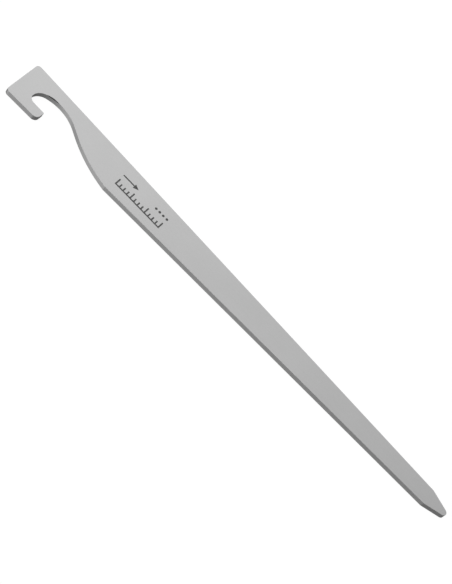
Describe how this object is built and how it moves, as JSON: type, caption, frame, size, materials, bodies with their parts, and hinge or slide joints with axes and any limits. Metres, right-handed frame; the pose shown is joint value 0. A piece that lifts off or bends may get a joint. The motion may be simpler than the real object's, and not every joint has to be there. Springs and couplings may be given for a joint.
{
  "type": "tent stake",
  "caption": "Flat tapering tent stake with a square head, an open hook on one edge that holds a guy line, and a rounded point.",
  "frame": {"origin": "under the middle of the outer box, on the plane of the unmarked face", "axes": "+X along the stake from the head to the point, +Y towards the straight back edge and away from the hook's mouth, +Z out of the marked face"},
  "size_m": [0.3, 0.0256, 0.003],
  "materials": {
    "titanium": "bare commercially pure titanium sheet, fine satin faces with no coating, laser-cut edges a little darker, small dark laser mark on one face"
  },
  "bodies": {
    "root": {"stake_plate": "titanium"}
  },
  "joints": []
}
